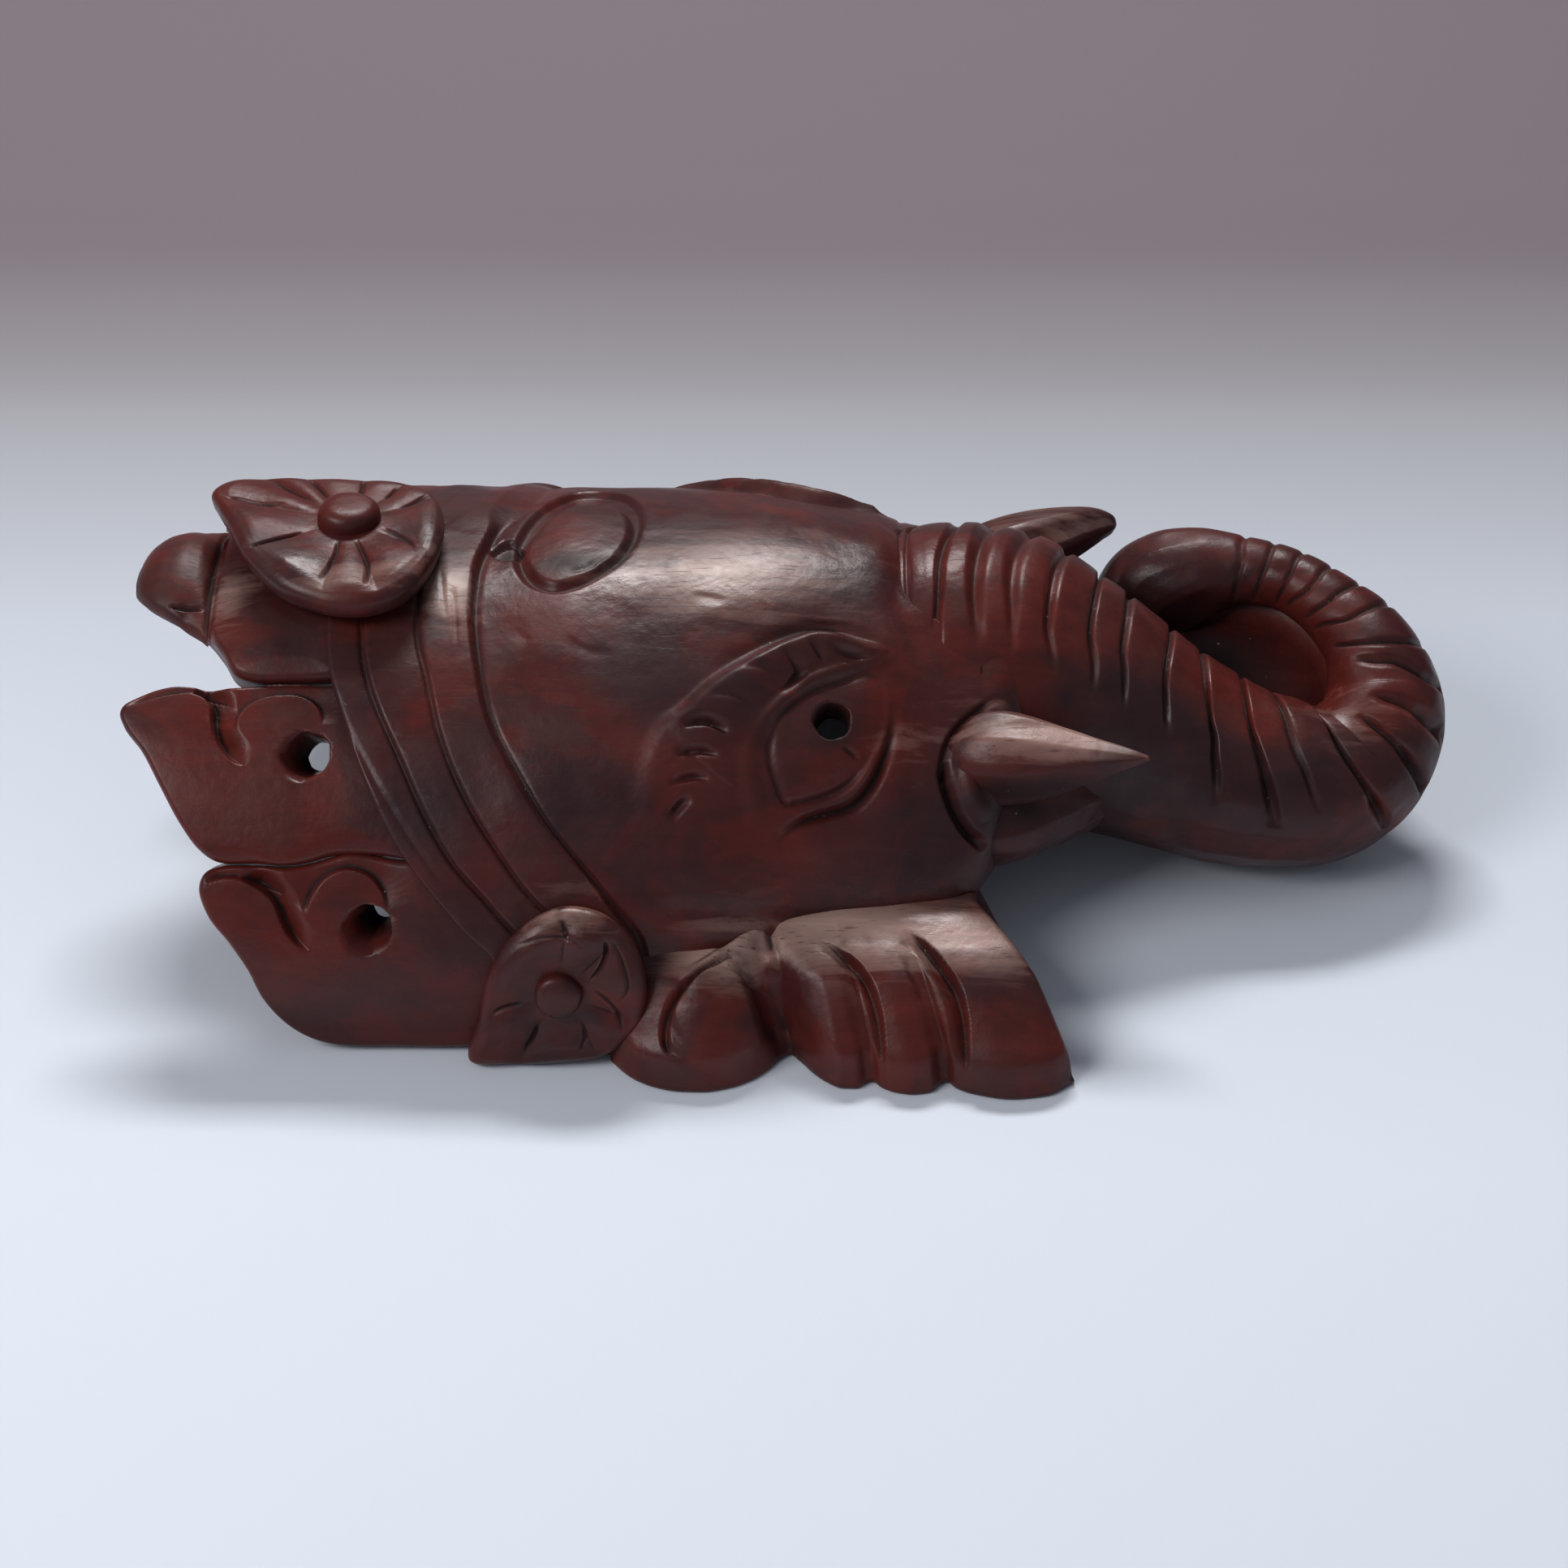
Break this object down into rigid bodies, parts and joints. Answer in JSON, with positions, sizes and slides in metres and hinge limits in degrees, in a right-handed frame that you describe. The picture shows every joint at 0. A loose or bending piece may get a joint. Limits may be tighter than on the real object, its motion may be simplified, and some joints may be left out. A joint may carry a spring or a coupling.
{
  "type": "carved elephant-head wall mask",
  "caption": "Hollow-backed carved wooden elephant-head mask with a lobed crown, rosettes, leaf-shaped ears, tusks and a ringed, curled trunk, lying face up.",
  "frame": {"origin": "middle of the mask's length and width, in the plane of its flat back rim", "axes": "+X from the crown to the trunk's curl, +Y to the side that the trunk curls to, +Z out of the face"},
  "size_m": [0.2948, 0.1926, 0.0922],
  "materials": {
    "carved_wood": "dark red-brown stained and waxed hardwood, satin"
  },
  "bodies": {
    "root": {"ganesha_mask": "carved_wood"}
  },
  "joints": []
}
